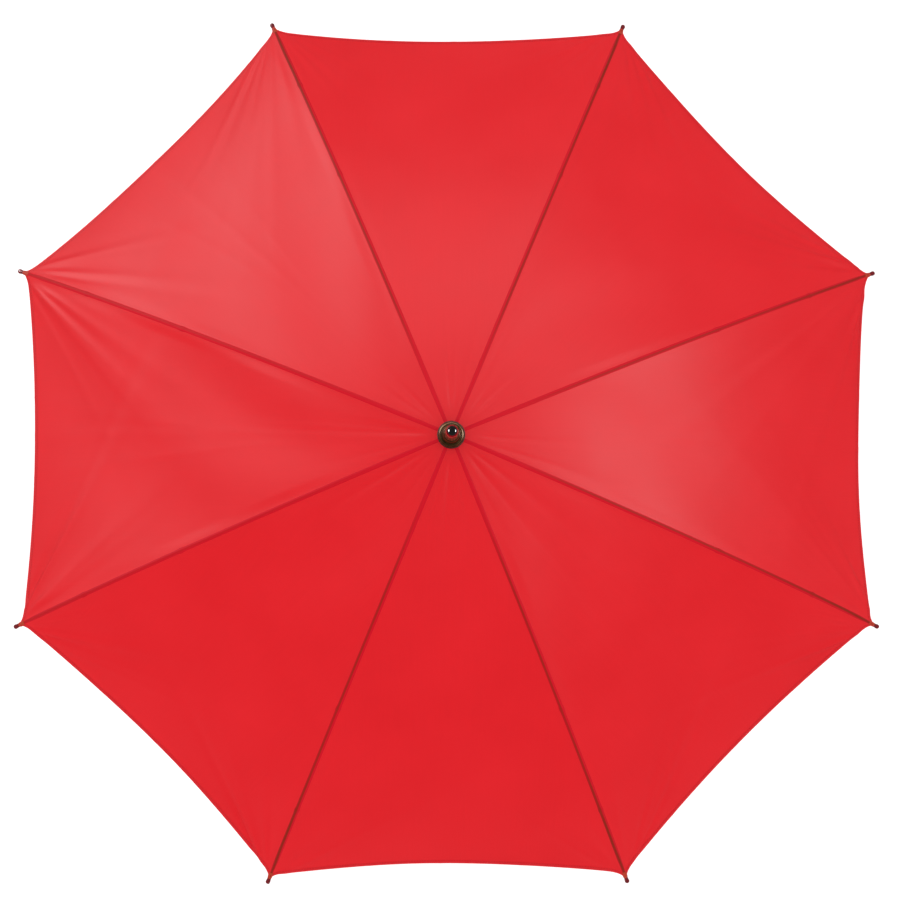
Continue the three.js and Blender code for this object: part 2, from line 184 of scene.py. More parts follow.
# ---------------------------------------------------------------- materials
class Paint:
    """A Principled material and short ways to add nodes to it."""

    def __init__(self, name, rough, metal=0.0, **settings):
        self.material = bpy.data.materials.new(name)
        self.material.use_nodes = True
        self.tree = self.material.node_tree
        self.shader = self.tree.nodes["Principled BSDF"]
        self.shader.inputs["Roughness"].default_value = rough
        self.shader.inputs["Metallic"].default_value = metal
        for key, value in settings.items():
            self.shader.inputs[key.replace("_", " ")].default_value = value

    def node(self, kind, **settings):
        made = self.tree.nodes.new("ShaderNode" + kind)
        for key, value in settings.items():
            if hasattr(made, key):
                setattr(made, key, value)
            else:
                made.inputs[key.replace("_", " ")].default_value = value
        return made

    def link(self, out, into):
        self.tree.links.new(out, into)

    def stretched(self, source, scale):
        """source's coordinates times scale, as a socket."""
        place = self.node("Mapping")
        place.inputs["Scale"].default_value = scale
        self.link(source, place.inputs["Vector"])
        return place.outputs["Vector"]

    def noise(self, source, scale, detail=3.0, rough=0.5):
        made = self.node("TexNoise", Scale=scale, Detail=detail, Roughness=rough)
        self.link(source, made.inputs["Vector"])
        return made.outputs["Fac"]

    def ramp(self, source, *stops):
        made = self.node("ValToRGB")
        elements = made.color_ramp.elements
        while len(elements) < len(stops):
            elements.new(0.5)
        for element, (at, color) in zip(elements, stops):
            element.position = at
            element.color = (*color, 1)
        self.link(source, made.inputs["Fac"])
        return made.outputs["Color"]

    def spread(self, source, low, high, start=0.3, end=0.7):
        """source from start to end, as a number from low to high."""
        made = self.node("MapRange")
        for key, value in (("From Min", start), ("From Max", end), ("To Min", low), ("To Max", high)):
            made.inputs[key].default_value = value
        self.link(source, made.inputs["Value"])
        return made.outputs["Result"]

    def mix(self, factor, a, b, blend="MIX"):
        made = self.node("Mix", data_type="RGBA", blend_type=blend)
        for value, key in ((factor, 0), (a, 6), (b, 7)):
            if isinstance(value, bpy.types.NodeSocket):
                self.link(value, made.inputs[key])
            else:
                made.inputs[key].default_value = value if key == 0 else (*value, 1)
        return made.outputs[2]

    def calc(self, operation, a, b=0.5):
        made = self.node("Math", operation=operation)
        for index, value in enumerate((a, b)):
            if isinstance(value, bpy.types.NodeSocket):
                self.link(value, made.inputs[index])
            else:
                made.inputs[index].default_value = value
        return made.outputs["Value"]

    def bump(self, height, distance, strength=1.0):
        made = self.node("Bump", Strength=strength, Distance=distance)
        self.link(height, made.inputs["Height"])
        self.link(made.outputs["Normal"], self.shader.inputs["Normal"])
        return made

    def color(self, source):
        self.link(source, self.shader.inputs["Base Color"])

    def rough(self, source):
        self.link(source, self.shader.inputs["Roughness"])


def object_place(paint):
    return paint.node("TexCoord").outputs["Object"]


def weave(paint, uv, pitch):
    """Height of a plain weave from coordinates in metres."""
    split = paint.node("SeparateXYZ")
    paint.link(uv, split.inputs["Vector"])
    turn = 2 * math.pi / pitch
    warp = paint.calc("SINE", paint.calc("MULTIPLY", split.outputs["X"], turn))
    weft = paint.calc("SINE", paint.calc("MULTIPLY", split.outputs["Y"], turn))
    return paint.calc("MULTIPLY", warp, weft)


FAINT_SHEEN = {"Sheen_Weight": 0.01, "Sheen_Roughness": 0.4, "Sheen_Tint": (1, 0.6, 0.58, 1)}


def cloth_paint(name, low, high, glow):
    """Woven nylon that lets some light through."""
    paint = Paint(name, 0.44, Specular_IOR_Level=0.2, **FAINT_SHEEN)
    uv = paint.node("UVMap", uv_map="cloth").outputs["UV"]
    cloud = paint.noise(uv, 7.0, 3.0)
    slub = paint.noise(paint.stretched(uv, (900, 14, 1)), 1.0, 2.0)
    both = paint.calc("ADD", paint.calc("MULTIPLY", cloud, 0.72), paint.calc("MULTIPLY", slub, 0.28))
    paint.color(paint.ramp(both, (0.3, low), (0.7, high)))
    paint.rough(paint.spread(cloud, 0.4, 0.48))
    thread = paint.calc("MULTIPLY", weave(paint, uv, 0.0006), 0.5)
    grain = paint.calc("MULTIPLY", slub, 0.6)
    paint.bump(paint.calc("ADD", thread, grain), 0.00005, 0.35)
    through = paint.node("BsdfTranslucent")
    through.inputs["Color"].default_value = (*glow, 1)
    both = paint.node("MixShader")
    both.inputs[0].default_value = 0.2
    paint.link(paint.shader.outputs["BSDF"], both.inputs[1])
    paint.link(through.outputs["BSDF"], both.inputs[2])
    paint.link(both.outputs["Shader"], paint.tree.nodes["Material Output"].inputs["Surface"])
    return paint.material


def seam_paint():
    """The seam over a rib: a painted shadow of the dark rib down its middle, as if it showed through the
    cloth, and the turned-in edges beside it.
    """
    paint = Paint("seam", 0.5, Specular_IOR_Level=0.05, **FAINT_SHEEN)
    uv = paint.node("UVMap", uv_map="cloth").outputs["UV"]
    split = paint.node("SeparateXYZ")
    paint.link(uv, split.inputs["Vector"])
    across = split.outputs["X"]
    patchy = paint.noise(paint.stretched(uv, (300, 26, 1)), 1.0, 3.0)
    # painted shade: this attribute darkens the seam to a brown band where the rib's shadow would show
    # through the cloth
    rib = paint.node("Attribute", attribute_name="rib_shows").outputs["Fac"]
    fade = paint.spread(patchy, 0.62, 1.0, 0.25, 0.6)
    edge = paint.mix(patchy, (0.56, 0.003, 0.013), (0.67, 0.005, 0.018))
    rib_shadow_color = paint.mix(patchy, (0.17, 0.014, 0.004), (0.28, 0.021, 0.007))
    paint.color(paint.mix(paint.calc("MULTIPLY", rib, fade), edge, rib_shadow_color))
    stitch = paint.calc("SINE", paint.calc("MULTIPLY", split.outputs["Y"], 2 * math.pi / 0.0025))
    near = paint.spread(paint.calc("ABSOLUTE", across), 1.0, 0.0, 0.0001, 0.0006)
    paint.bump(paint.calc("MULTIPLY", stitch, near), 0.00012, 0.7)
    return paint.material


def wood_paint(name, dark, light, coat):
    paint = Paint(name, 0.42, Coat_Weight=coat, Coat_Roughness=0.1)
    grain = paint.node("Attribute", attribute_name="grain").outputs["Vector"]
    warp = paint.noise(paint.stretched(grain, (60, 60, 8)), 1.0, 2.0)
    streak = paint.noise(paint.stretched(grain, (700, 700, 16)), 1.0, 4.0, 0.6)
    pores = paint.noise(paint.stretched(grain, (3200, 3200, 90)), 1.0, 2.0)
    tone = paint.calc("ADD", paint.calc("MULTIPLY", warp, 0.45), paint.calc("MULTIPLY", streak, 0.55))
    stained = paint.ramp(tone, (0.34, dark), (0.52, light), (0.66, dark))
    paint.color(paint.mix(paint.spread(pores, 0.45, 0.0, 0.3, 0.45), stained, tuple(c * 0.45 for c in dark)))
    paint.rough(paint.spread(streak, 0.34, 0.5))
    paint.bump(paint.calc("ADD", streak, pores), 0.00006, 0.35)
    return paint.material


def metal_paint(name, dark, light, rough, metal, scale, scratches=0.25, coat=0.0):
    paint = Paint(name, rough, metal, Coat_Weight=coat, Coat_Roughness=0.15)
    place = object_place(paint)
    cloud = paint.noise(place, scale, 4.0, 0.6)
    fine = paint.noise(paint.stretched(place, (5200, 5200, 700)), 1.0, 2.0)
    paint.color(paint.ramp(cloud, (0.32, dark), (0.68, light)))
    worn = paint.calc("ADD", cloud, paint.calc("MULTIPLY", fine, 0.5))
    paint.rough(paint.spread(worn, rough * 0.75, rough * 1.3, 0.5, 1.0))
    paint.bump(fine, 0.00002, scratches)
    return paint.material


RED_CLOTH = cloth_paint("red_nylon", (0.79, 0.0052, 0.0125), (0.86, 0.0076, 0.0165), (0.9, 0.008, 0.012))
HEM_CLOTH = cloth_paint("red_nylon_hem", (0.75, 0.0052, 0.0125), (0.84, 0.0076, 0.0165), (0.9, 0.008, 0.012))
TIP_CLOTH = cloth_paint("red_nylon_doubled", (0.46, 0.036, 0.012), (0.62, 0.056, 0.02), (0.6, 0.02, 0.012))
THREAD = cloth_paint("red_thread", (0.42, 0.006, 0.012), (0.60, 0.010, 0.02), (0.5, 0.01, 0.01))
SEAM = seam_paint()
WOOD = wood_paint("stained_wood", (0.045, 0.009, 0.004), (0.15, 0.034, 0.012), 0.6)
FERRULE_WOOD = wood_paint("stained_wood_ferrule", (0.12, 0.016, 0.007), (0.32, 0.060, 0.026), 0.8)
BRONZE = metal_paint("dark_bronze", (0.048, 0.021, 0.003), (0.11, 0.05, 0.008), 0.34, 0.6, 220, 0.2, 0.2)
WASHER = metal_paint("dark_washer", (0.018, 0.012, 0.003), (0.05, 0.028, 0.008), 0.5, 0.2, 260)
STEEL = metal_paint("spring_steel", (0.42, 0.42, 0.43), (0.62, 0.62, 0.63), 0.24, 1.0, 180, 0.3)
ENAMEL = metal_paint("black_enamel", (0.006, 0.006, 0.007), (0.018, 0.017, 0.018), 0.36, 0.3, 160, 0.2, 0.25)
PLASTIC = metal_paint("black_plastic", (0.007, 0.007, 0.008), (0.016, 0.016, 0.017), 0.42, 0.0, 300)
GLOSS = metal_paint(
    "gloss_black", (0.0015, 0.0014, 0.0014), (0.004, 0.0036, 0.0034), 0.07, 0.0, 120, 0.02, 1.0
)
CAP_RED = metal_paint("tip_red", (0.12, 0.002, 0.006), (0.24, 0.006, 0.012), 0.2, 0.0, 300, 0.05, 0.6)

floor_paint = Paint("floor", 0.85)
cloud = floor_paint.noise(object_place(floor_paint), 1.4)
floor_paint.color(floor_paint.ramp(cloud, (0.3, (0.9, 0.9, 0.9)), (0.7, (0.93, 0.93, 0.93))))
floor_paint.shader.inputs["Emission Color"].default_value = (1, 1, 1, 1)
floor_paint.shader.inputs["Emission Strength"].default_value = 0.3


# ---------------------------------------------------------------- meshes
def add_piece(name, points, faces, paint, sharp=35.0, uv=None, **attributes):
    """Mesh object from points in millimetres. uv and the attributes hold one value for each point."""
    mesh = bpy.data.meshes.new(name)
    mesh.from_pydata((np.asarray(points, float) * MM).tolist(), [], [tuple(map(int, f)) for f in faces])
    mesh.materials.append(paint)
    mesh.polygons.foreach_set("use_smooth", np.ones(len(mesh.polygons), bool))
    for key, values in attributes.items():
        values = np.asarray(values, np.float32)
        kind, field = ("FLOAT_VECTOR", "vector") if values.ndim == 2 else ("FLOAT", "value")
        mesh.attributes.new(key, kind, "POINT").data.foreach_set(field, values.ravel())
    if uv is not None:
        corners = np.zeros(len(mesh.loops), np.int32)
        mesh.loops.foreach_get("vertex_index", corners)
        layer = mesh.uv_layers.new(name="cloth")
        layer.data.foreach_set("uv", (np.asarray(uv, np.float32) * MM)[corners].ravel())
    mesh.update()
    if sharp:
        mesh.set_sharp_from_angle(angle=math.radians(sharp))
    obj = bpy.data.objects.new(name, mesh)
    scene.collection.objects.link(obj)
    return obj


def grid_faces(rows, columns, close_rows=False, close_columns=False, first=0):
    """Quads of a grid whose points are numbered row by row."""
    r = np.arange(rows if close_rows else rows - 1)
    c = np.arange(columns if close_columns else columns - 1)
    r, c = np.meshgrid(r, c, indexing="ij")
    down, right = (r + 1) % rows, (c + 1) % columns
    quads = np.stack((r * columns + c, r * columns + right, down * columns + right, down * columns + c), -1)
    return quads.reshape(-1, 4) + first


def grid_rim(rows, columns):
    """The points round the edge of a grid, in order."""
    return (
        list(range(columns))
        + [r * columns + columns - 1 for r in range(1, rows)]
        + [(rows - 1) * columns + c for c in range(columns - 2, -1, -1)]
        + [r * columns for r in range(rows - 2, 0, -1)]
    )


def rounded(points, radius, closed, steps=4):
    """The outline with its corners turned into arcs, as far as its edges allow."""
    points = [np.array(p, float) for p in points]
    count = len(points)
    result = []
    for k, here in enumerate(points):
        if not closed and k in (0, count - 1):
            result.append(here)
            continue
        before, after = points[k - 1] - here, points[(k + 1) % count] - here
        reach = min(radius, 0.45 * np.linalg.norm(before), 0.45 * np.linalg.norm(after))
        a, b = here + before / np.linalg.norm(before) * reach, here + after / np.linalg.norm(after) * reach
        for t in np.linspace(0, 1, steps + 1):
            result.append((1 - t) ** 2 * a + 2 * t * (1 - t) * here + t * t * b)
    return result


def loft(rings, close_rows=False):
    """Points and faces through rings of equally many points, with its ends filled unless it closes."""
    rings = [np.asarray(r, float) for r in rings]
    points = np.concatenate(rings)
    rows, columns = len(rings), len(rings[0])
    faces = [tuple(f) for f in grid_faces(rows, columns, close_rows, True)]
    if not close_rows:
        faces.append(tuple(range(columns - 1, -1, -1)))
        faces.append(tuple(range((rows - 1) * columns, rows * columns)))
    return points, faces


def outwards(obj):
    """Turns the faces of a closed mesh outwards."""
    mesh = obj.data
    mesh.calc_loop_triangles()
    corners = np.array([t.vertices[:] for t in mesh.loop_triangles])
    at = np.array([v.co[:] for v in mesh.vertices])
    a, b, c = at[corners[:, 0]], at[corners[:, 1]], at[corners[:, 2]]
    if float((a * np.cross(b, c)).sum()) < 0:
        mesh.flip_normals()
    return obj


def lathe(name, profile, base, paint, centre=(0.0, 0.0), fillet=0.25, segments=96, wobble=None):
    """Solid of revolution from [radius, height] corners; a profile off the axis closes on itself."""
    ring = profile[0][0] > 0
    line = rounded(profile, fillet, ring)
    angle = np.arange(segments) * 2 * math.pi / segments
    points, index = [], []
    for r, z in line:
        if r < 1e-6:
            index.append([len(points)] * segments)
            points.append((0.0, 0.0, z))
            continue
        index.append(list(range(len(points), len(points) + segments)))
        extent = r + (wobble(angle, z) if wobble else 0)
        points.extend(np.stack((extent * np.cos(angle), extent * np.sin(angle), np.full(segments, z)), 1))
    faces = []
    for k in range(len(line) if ring else len(line) - 1):
        low, high = index[k], index[(k + 1) % len(line)]
        for m in range(segments):
            n = (m + 1) % segments
            corner = list(dict.fromkeys((low[m], low[n], high[n], high[m])))
            if len(corner) > 2:
                faces.append(corner)
    points = np.array(points, float)
    grain = points + (centre[0], centre[1], base)
    obj = add_piece(name, points + (centre[0], centre[1], base), faces, paint, grain=grain * MM)
    return outwards(obj)


def carve(obj, *boxes):
    """Cuts boxes, each of two corners and a turn about Z in radians, out of obj."""
    points, faces = [], []
    for low, high, turn in boxes:
        first = len(points)
        c, s = math.cos(turn), math.sin(turn)
        for n in range(8):
            x, y, z = (high[a] if n >> a & 1 else low[a] for a in range(3))
            points.append((c * x - s * y, s * x + c * y, z))
        for f in ((0, 2, 3, 1), (4, 5, 7, 6), (0, 1, 5, 4), (2, 6, 7, 3), (0, 4, 6, 2), (1, 3, 7, 5)):
            faces.append([first + n for n in f])
    tool = add_piece("cutter", points, faces, obj.data.materials[0], sharp=None)
    cut = obj.modifiers.new("cut", "BOOLEAN")
    cut.operation, cut.object, cut.solver = "DIFFERENCE", tool, "EXACT"
    bpy.context.view_layer.update()
    obj.data = bpy.data.meshes.new_from_object(obj.evaluated_get(bpy.context.evaluated_depsgraph_get()))
    obj.modifiers.clear()
    bpy.data.objects.remove(tool)
    obj.data.set_sharp_from_angle(angle=math.radians(35))
    place = np.zeros(3 * len(obj.data.vertices), np.float32)
    obj.data.vertices.foreach_get("co", place)
    old = obj.data.attributes.get("grain")
    if old:
        obj.data.attributes.remove(old)
    obj.data.attributes.new("grain", "FLOAT_VECTOR", "POINT").data.foreach_set("vector", place)
    return obj


def settle(obj, body, slot, *nodes):
    """obj rides on body and stands for nodes; slot is not used."""
    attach(obj, body)
    if nodes:
        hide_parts(*nodes)
    return obj


# ---------------------------------------------------------------- the curve of a rib
def rib_point(s, up=0.0, side=0.0):
    """Point of the rib at azimuth 0: s along it, up away from the inside, side to its left."""
    t = SLOPE + np.asarray(s, float) / BEND
    r = PIVOT_R + BEND * (np.sin(t) - math.sin(SLOPE)) + up * np.sin(t)
    z = NOTCH_Z - BEND * (math.cos(SLOPE) - np.cos(t)) + up * np.cos(t)
    return np.stack(np.broadcast_arrays(r, side, z), -1)


def turned(points, angle):
    """points turned about Z."""
    c, s = math.cos(angle), math.sin(angle)
    return np.asarray(points, float) @ np.array(((c, s, 0), (-s, c, 0), (0, 0, 1)))


def smooth(low, high, x):
    t = np.clip((np.asarray(x, float) - low) / (high - low), 0, 1)
    return t * t * (3 - 2 * t)


# ---------------------------------------------------------------- cloth
class Gore:
    """One panel between the ribs at -STEP / 2 and STEP / 2, by u from rib to rib and s along them."""

    def __init__(self, number):
        self.number = number
        draw = np.random.default_rng(40 + number)
        strength = 1.0 + 1.3 * abs(math.cos(STEP * number))
        self.corner = [
            [
                (
                    math.radians(draw.uniform(7, 60)),
                    strength * draw.uniform(0.35, 1.1) * draw.choice((-1, 1, 1)),
                    draw.uniform(45, 130),
                )
                for _ in range(8)
            ]
            for _ in range(2)
        ]
        self.crown = [
            (draw.uniform(0.12, 0.88), draw.uniform(0.2, 0.55), draw.uniform(45, 120)) for _ in range(6)
        ]
        self.fold = [
            (0.5 + draw.uniform(-0.03, 0.03), 0.5 + draw.uniform(-0.04, 0.04), draw.uniform(0.2, 0.34)),
            (0.5 + draw.uniform(-0.06, 0.06), draw.uniform(0.2, 0.42), draw.uniform(0.1, 0.22)),
            (0.5 + draw.uniform(-0.06, 0.06), draw.uniform(0.58, 0.8), draw.uniform(0.1, 0.22)),
        ]
        self.wave = [
            (
                draw.uniform(1.2, 3.2),
                draw.uniform(0.012, 0.03),
                draw.uniform(0, 6.3),
                draw.uniform(0.25, 0.5),
            )
            for _ in range(4)
        ]

    @staticmethod
    def hem(u):
        """Where the hem is, along the ribs."""
        edge = np.minimum(u, 1 - u) * 400
        return CLOTH_END - SCALLOP * 4 * u * (1 - u) - FLARE * (1 - np.exp(-edge / FLARE_WIDTH))

    @staticmethod
    def flat(u, s):
        """The panel before its creases: ruled from rib to rib, with an inward belly."""
        up = CROWN_UP + (CLOTH_UP - CROWN_UP) * smooth(12, 60, s) + (TIP_UP - CLOTH_UP) * smooth(535, 560, s)
        on_rib = rib_point(s, up)
        r, z = on_rib[..., 0], on_rib[..., 2]
        half = r * math.sin(STEP / 2)
        t = SLOPE + s / BEND
        inward = np.stack((np.sin(t), 0 * t, np.cos(t) * math.cos(STEP / 2)), -1)
        inward /= np.linalg.norm(inward, axis=-1, keepdims=True)
        depth = BELLY * 4 * u * (1 - u) * (2 * half) ** 2 / (8 * BEND)
        return np.stack((r * math.cos(STEP / 2), (2 * u - 1) * half, z), -1) - inward * depth[..., None]

    def lift(self, u, s):
        """Creases and waves, away from the inside."""
        width = 2 * rib_point(s)[..., 0] * math.sin(STEP / 2)
        total = np.zeros_like(u)
        for near, creases in ((u, self.corner[0]), (1 - u, self.corner[1])):
            across, along = near * width, np.maximum(FABRIC_END + 3 - s, 0)
            reach = np.hypot(across, along) + 1e-6
            angle = np.arctan2(across, along)
            for at, height, length in creases:
                offset = reach * np.sin(angle - at) / (2 + 0.036 * reach)
                total += height * np.exp(-offset * offset) * smooth(12, 56, reach) * np.exp(-reach / length)
        for at, height, length in self.crown:
            offset = (u - at) * width / (1.4 + 0.02 * s)
            total -= height * np.exp(-offset * offset) * smooth(10, 34, s) * np.exp(-s / length)
        for start, end, height in self.fold:
            offset = np.abs(u - start - (end - start) * s / FABRIC_END) * width / 2.6
            total += height * np.exp(-offset) * smooth(60, 330, s)
        for across, along, phase, height in self.wave:
            total += height * np.sin(across * math.pi * u + along * s + phase) * smooth(60, 200, s)
        edge = np.minimum(u, 1 - u) * width
        return total * smooth(2.5, 16, edge)

    def surface(self, u, s, offset=0.0):
        """Point of the cloth, offset from its middle away from the inside."""
        u, s = np.broadcast_arrays(np.asarray(u, float), np.asarray(s, float))
        e = 1e-4
        du = self.flat(u + e, s) - self.flat(u - e, s)
        ds = self.flat(u, s + 0.05) - self.flat(u, s - 0.05)
        normal = np.cross(ds, du)
        normal /= np.linalg.norm(normal, axis=-1, keepdims=True)
        lift = self.lift(u, s) + offset
        return self.flat(u, s) + normal * lift[..., None]

    def weight(self, u, s):
        """A share across the panel for following its second rib as the umbrella closes, offset for pleats;
        nothing folds the cloth by it.
        """
        return u - 0.12 * np.sin(math.pi * u) * smooth(60, 480, s)

    def out(self, points):
        return turned(points, STEP * self.number)

    def bend(self, obj, weights):
        """Bakes obj's placement into its mesh; it does not bend obj."""
        reach = rib_point(300)[0]
        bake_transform(obj)
        return obj


ACROSS, ALONG = 88, 150


def gore_grid():
    """u and v of the panel's grid, closer together towards its seams and its hem."""
    k = np.linspace(0, 1, ACROSS + 1)
    u = 0.3 * k + 0.7 * 0.5 * (1 - np.cos(math.pi * k))
    k = np.linspace(0, 1, ALONG + 1)
    v = 1 - (1 - k) ** 1.45
    v = 0.35 * k + 0.65 * v
    return u, v


def make_gore(gore):
    u, v = gore_grid()
    v, u = np.meshgrid(v, u, indexing="ij")
    s = CLOTH_START + v * (gore.hem(u) - CLOTH_START)
    layers = [gore.surface(u, s, side * CLOTH_T / 2).reshape(-1, 3) for side in (1, -1)]
    rows, columns = u.shape
    count = rows * columns
    top = grid_faces(rows, columns)
    faces = [tuple(f) for f in top[:, ::-1]] + [tuple(f) for f in top + count]
    rim = grid_rim(rows, columns)
    for a, b in zip(rim, rim[1:] + rim[:1]):
        faces.append((a, b, b + count, a + count))
    width = 2 * rib_point(s)[..., 0] * math.sin(STEP / 2)
    uv = np.stack(((u - 0.5) * width, s), -1).reshape(-1, 2)
    points = gore.out(np.concatenate(layers))
    obj = add_piece(f"gore_fabric_{gore.number}", points, faces, RED_CLOTH, 60, np.tile(uv, (2, 1)))
    outwards(obj)
    first = layers[0][top]
    area = 0.5 * np.linalg.norm(np.cross(first[:, 2] - first[:, 0], first[:, 3] - first[:, 1]), axis=1).sum()
    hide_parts(f"canopy_gore_{gore.number}")
    gore.bend(obj, np.tile(gore.weight(u, s).ravel(), 2))
    return obj, area * MM * MM


def make_hem(gore):
    """The turned-in hem of a panel with its row of stitches."""
    steps = 200
    edge = 0.004
    k = np.linspace(0, 1, steps + 1)
    u = edge + (1 - 2 * edge) * (0.4 * k + 0.6 * 0.5 * (1 - np.cos(math.pi * k)))
    half = CLOTH_T / 2 + 0.1
    section = rounded([(-0.3, -half), (-0.3, half), (HEM_W, half), (HEM_W, -half)], 0.3, True, 3)
    rings = [gore.surface(u, gore.hem(u) - back, height) for back, height in section]
    rings = np.stack(rings, 1)
    points, faces = loft(rings)
    weights = [gore.weight(np.repeat(u, len(section)), np.repeat(gore.hem(u), len(section)))]
    arc = np.repeat((u - 0.5) * 400, len(section))
    uv = [np.stack((arc, np.tile([b for b, _ in section], steps + 1)), -1)]
    stitches = int(390 / STITCH)
    stitch_faces = []
    lows = len(points)
    blocks = [points]
    for k in range(stitches):
        middle = edge + (1 - 2 * edge) * (k + 0.5) / stitches
        reach = 0.36 * (1 - 2 * edge) / stitches
        us = middle + reach * np.array((-1, 1, 1, -1, -0.6, 0.6, 0.6, -0.6))
        back = HEM_W - 1.3 + 0.17 * np.array((-1, -1, 1, 1, -0.6, -0.6, 0.6, 0.6))
        for side in (1, -1):
            height = side * (half + np.array((-0.1, -0.1, -0.1, -0.1, 0.16, 0.16, 0.16, 0.16)))
            first = lows + sum(len(b) for b in blocks[1:])
            blocks.append(gore.surface(us, gore.hem(us) - back, height))
            weights.append(gore.weight(us, gore.hem(us)))
            uv.append(np.stack((us * 400, back), -1))
            for f in ((0, 1, 2, 3), (4, 7, 6, 5), (0, 4, 5, 1), (1, 5, 6, 2), (2, 6, 7, 3), (3, 7, 4, 0)):
                f = f if side > 0 else f[::-1]
                stitch_faces.append(tuple(first + n for n in f))
    points = gore.out(np.concatenate(blocks))
    obj = add_piece(f"hem_{gore.number}", points, faces + stitch_faces, HEM_CLOTH, 50, np.concatenate(uv))
    obj.data.materials.append(THREAD)
    index = np.zeros(len(obj.data.polygons), np.int32)
    index[len(faces):] = 1
    obj.data.polygons.foreach_set("material_index", index)
    outwards(obj)
    gore.bend(obj, np.concatenate(weights))
    return obj


# Which side of the seam the rib's shadow falls on, and how strongly it shows, rib by rib
RIB_SHADOW = (
    (-0.5, 0.8), (-0.9, 1.0), (0.8, 1.0), (-0.8, 0.35), (0.2, 0.3), (-0.8, 1.0), (-0.8, 1.0), (0.8, 0.9),
)


def make_seam(number, before, after):
    """The seam along a rib, with the gore before it and the one after it."""
    across = np.array((-2.7, -2.5, -2.05, -1.5, -0.9, -0.35, 0.0, 0.35, 0.9, 1.5, 2.05, 2.5, 2.7))
    height = np.array((-0.05, 0.08, 0.14, 0.2, 0.25, 0.22, 0.14, 0.22, 0.25, 0.2, 0.14, 0.08, -0.05))
    s = np.concatenate((np.linspace(CLOTH_START, 40, 14)[:-1], np.linspace(40, 558, 260)))
    shadow, strength = RIB_SHADOW[number - 1]
    rows = []
    shown = []
    for at in s:
        width = 2 * rib_point(at)[0] * math.sin(STEP / 2)
        tie = sum(math.exp(-(((at - t) / 3.4) ** 2)) for t in TIES)
        narrow = (0.8 + 0.2 * smooth(0, 60, at)) * (1 - 0.32 * smooth(525, 556, at)) + 0.22 * tie
        reach = np.abs(across) * narrow / width
        raised = CLOTH_T / 2 + height * (1 + 2.2 * tie)
        left = after.surface(reach[across >= 0], at, raised[across >= 0])
        right = before.surface(1 - reach[across < 0], at, raised[across < 0])
        left = turned(left, STEP / 2)
        right = turned(right, -STEP / 2)
        rows.append(np.concatenate((right, left)))
        # painted shadow of the rib seen through the seam, point by point, off centre to the side given in
        # RIB_SHADOW
        grow = smooth(40, 170, at) * (0.8 + 0.35 * smooth(350, 550, at))
        mid = shadow * (1 - smooth(500, 550, at))
        half = 0.92 + 0.35 * smooth(300, 550, at)
        shown.append(strength * grow * np.clip(1.6 - np.abs(across - mid) / half, 0, 1))
    rows = np.array(rows)
    columns = len(across)
    low = rows.copy()
    under = np.array([rib_point(at, 1)[..., :] - rib_point(at, 0)[..., :] for at in s])
    low -= under[:, None, :] * 0.3
    count = rows.shape[0] * columns
    top = grid_faces(rows.shape[0], columns)
    faces = [tuple(f) for f in top] + [tuple(f) for f in top[:, ::-1] + count]
    rim = grid_rim(rows.shape[0], columns)
    for a, b in zip(rim, rim[1:] + rim[:1]):
        faces.append((b, a, a + count, b + count))
    points = np.concatenate((rows.reshape(-1, 3), low.reshape(-1, 3)))
    uv = np.stack((np.tile(across, len(s)), np.repeat(s, columns)), -1)
    shown = np.clip(np.tile(np.array(shown).ravel(), 2), 0, 1)
    angle = FIRST_RIB + STEP * (number - 1)
    obj = add_piece(
        f"seam_{number}", turned(points, angle), faces, SEAM, 60, np.tile(uv, (2, 1)), rib_shows=shown
    )
    return settle(outwards(obj), f"rib_{number}", "canopy")


def along_rib(section, s):
    """Rings of a section, [side, up] pairs or a function of s, along the rib at azimuth 0."""
    rings = []
    for at in s:
        pairs = np.array(section(at) if callable(section) else section, float)
        rings.append(rib_point(at, pairs[:, 1], pairs[:, 0]))
    return rings


def make_tip_wrap(number):
    """The doubled corner of the cloth, gathered round the end of the rib."""
    phase = np.random.default_rng(number).uniform(0, 6.3, 3)

    def section(s):
        t = smooth(551, 557, s)
        tight = 0.2 * smooth(558.5, CLOTH_END, s)
        a = 2.5 + 0.3 * math.sin(math.pi * min(t, 1)) + 0.1 * t - tight
        b = 0.34 + (2.5 - 0.34) * t - tight
        c = 2.4 * (1 - t)
        around = np.linspace(0, 2 * math.pi, 41)[:-1]
        ripple = 0.09 * np.sin(5 * around + phase[0] + 0.25 * s)
        ripple = ripple + 0.06 * np.sin(9 * around + phase[1] - 0.2 * s)
        a, b = a + ripple, b + ripple * t
        fall = 0.3 * (a * np.abs(np.cos(around))) * (1 - t)
        return np.stack((a * np.cos(around), c + b * np.sin(around) - fall), -1)

    s = np.concatenate((np.linspace(551, CLOTH_END - 0.4, 28), [CLOTH_END - 0.1, CLOTH_END]))
    points, faces = loft(along_rib(section, s))
    angle = FIRST_RIB + STEP * (number - 1)
    uv = np.stack((np.tile(np.linspace(0, 15, 40), len(s)), np.repeat(s, 40)), -1)
    obj = add_piece(f"tip_wrap_{number}", turned(points, angle), faces, TIP_CLOTH, 50, uv)
    return settle(outwards(obj), f"rib_{number}", "canopy")


